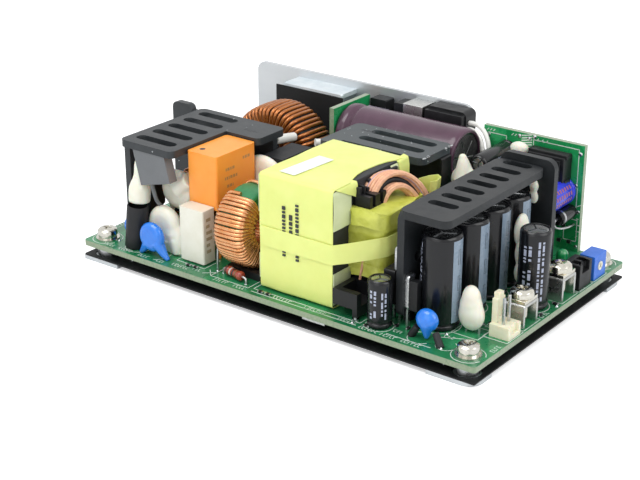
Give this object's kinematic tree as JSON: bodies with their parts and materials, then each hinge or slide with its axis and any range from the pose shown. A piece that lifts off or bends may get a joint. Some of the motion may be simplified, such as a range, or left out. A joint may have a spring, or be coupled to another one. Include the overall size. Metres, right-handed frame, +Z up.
{
  "type": "open frame power supply",
  "caption": "Open-frame switching power supply: populated circuit board on an L-shaped metal chassis with heat sinks, transformer, chokes and screw terminals.",
  "frame": {"origin": "middle of the object's bounding box, on the underside of the chassis plate", "axes": "+X along the board from the mains input end to the low-voltage output end, +Y across the board towards the upright flange, +Z up"},
  "size_m": [0.127, 0.0784, 0.0397],
  "materials": {
    "bright_aluminium": "satin",
    "black_film": "matte",
    "plated_steel": "plated",
    "green_board": "solder resist",
    "dark_anodised": "satin black",
    "moulding_black": "moulded",
    "tinned_metal": "tinned",
    "moulding_grey": "matte",
    "ferrite": "fired",
    "yellow_tape": "film tape",
    "copper_wire": "enamelled",
    "green_core": "coated",
    "maroon_sleeve": "shrink sleeve",
    "black_sleeve": "shrink sleeve",
    "orange_case": "moulded",
    "cream_case": "moulded",
    "white_silicone": "soft coating",
    "black_rubber": "shrink tube",
    "blue_epoxy": "dipped",
    "glass_bead": "painted",
    "nickel": "bright",
    "blue_case": "moulded",
    "green_lens": "tinted",
    "white_wire": "insulated"
  },
  "bodies": {
    "unit": {"chassis": "bright_aluminium", "insulating_sheet": "black_film", "standoffs": "plated_steel", "main_board": "green_board", "board_screws": "plated_steel", "screw_washers": "plated_steel", "heatsink_input": "dark_anodised", "heatsink_middle": "dark_anodised", "heatsink_output": "dark_anodised", "sink_devices": "moulding_black", "sink_device_tabs": "tinned_metal", "sink_screws": "plated_steel", "bridge_rectifier": "moulding_black", "leaning_device": "moulding_grey", "middle_device": "moulding_black", "transformer_core": "ferrite", "transformer_bobbin": "moulding_black", "transformer_winding": "yellow_tape", "transformer_tape": "yellow_tape", "transformer_pins": "tinned_metal", "litz_leads": "copper_wire", "boost_choke_core": "green_core", "boost_choke_winding": "copper_wire", "boost_choke_base": "moulding_black", "filter_choke_core": "ferrite", "filter_choke_winding": "copper_wire", "rear_choke_core": "ferrite", "rear_choke_winding": "copper_wire", "ferrite_choke": "ferrite", "bulk_capacitors": "maroon_sleeve", "output_capacitors": "black_sleeve", "front_capacitors": "black_sleeve", "relay": "orange_case", "box_capacitor": "cream_case", "white_discs": "white_silicone", "bottle_varistor": "white_silicone", "black_sleeves": "black_rubber", "blue_capacitors": "blue_epoxy", "ivory_capacitors": "white_silicone", "axial_part": "glass_bead", "underside_parts": "tinned_metal", "terminal_brackets": "nickel", "terminal_washers": "nickel", "terminal_screws": "nickel", "fan_header": "cream_case", "fan_header_pins": "tinned_metal", "signal_header": "moulding_black", "trimmer_body": "blue_case", "led": "green_lens", "input_header": "cream_case", "control_board": "green_board", "control_parts": "moulding_black", "control_capacitors": "black_sleeve", "small_board": "green_board", "flange_bracket": "bright_aluminium", "flange_film": "black_film", "flange_devices": "moulding_black", "flange_clip": "tinned_metal", "white_leads": "white_wire"},
    "adjuster": {"trimmer_rotor": "cream_case"}
  },
  "joints": [
    {"name": "trimmer_turn", "type": "hinge", "parent": "unit", "child": "adjuster", "pos_m": [0.062, 0.02395, 0.0092], "axis": [1, 0, 0], "range_deg": [-130, 130]}
  ]
}
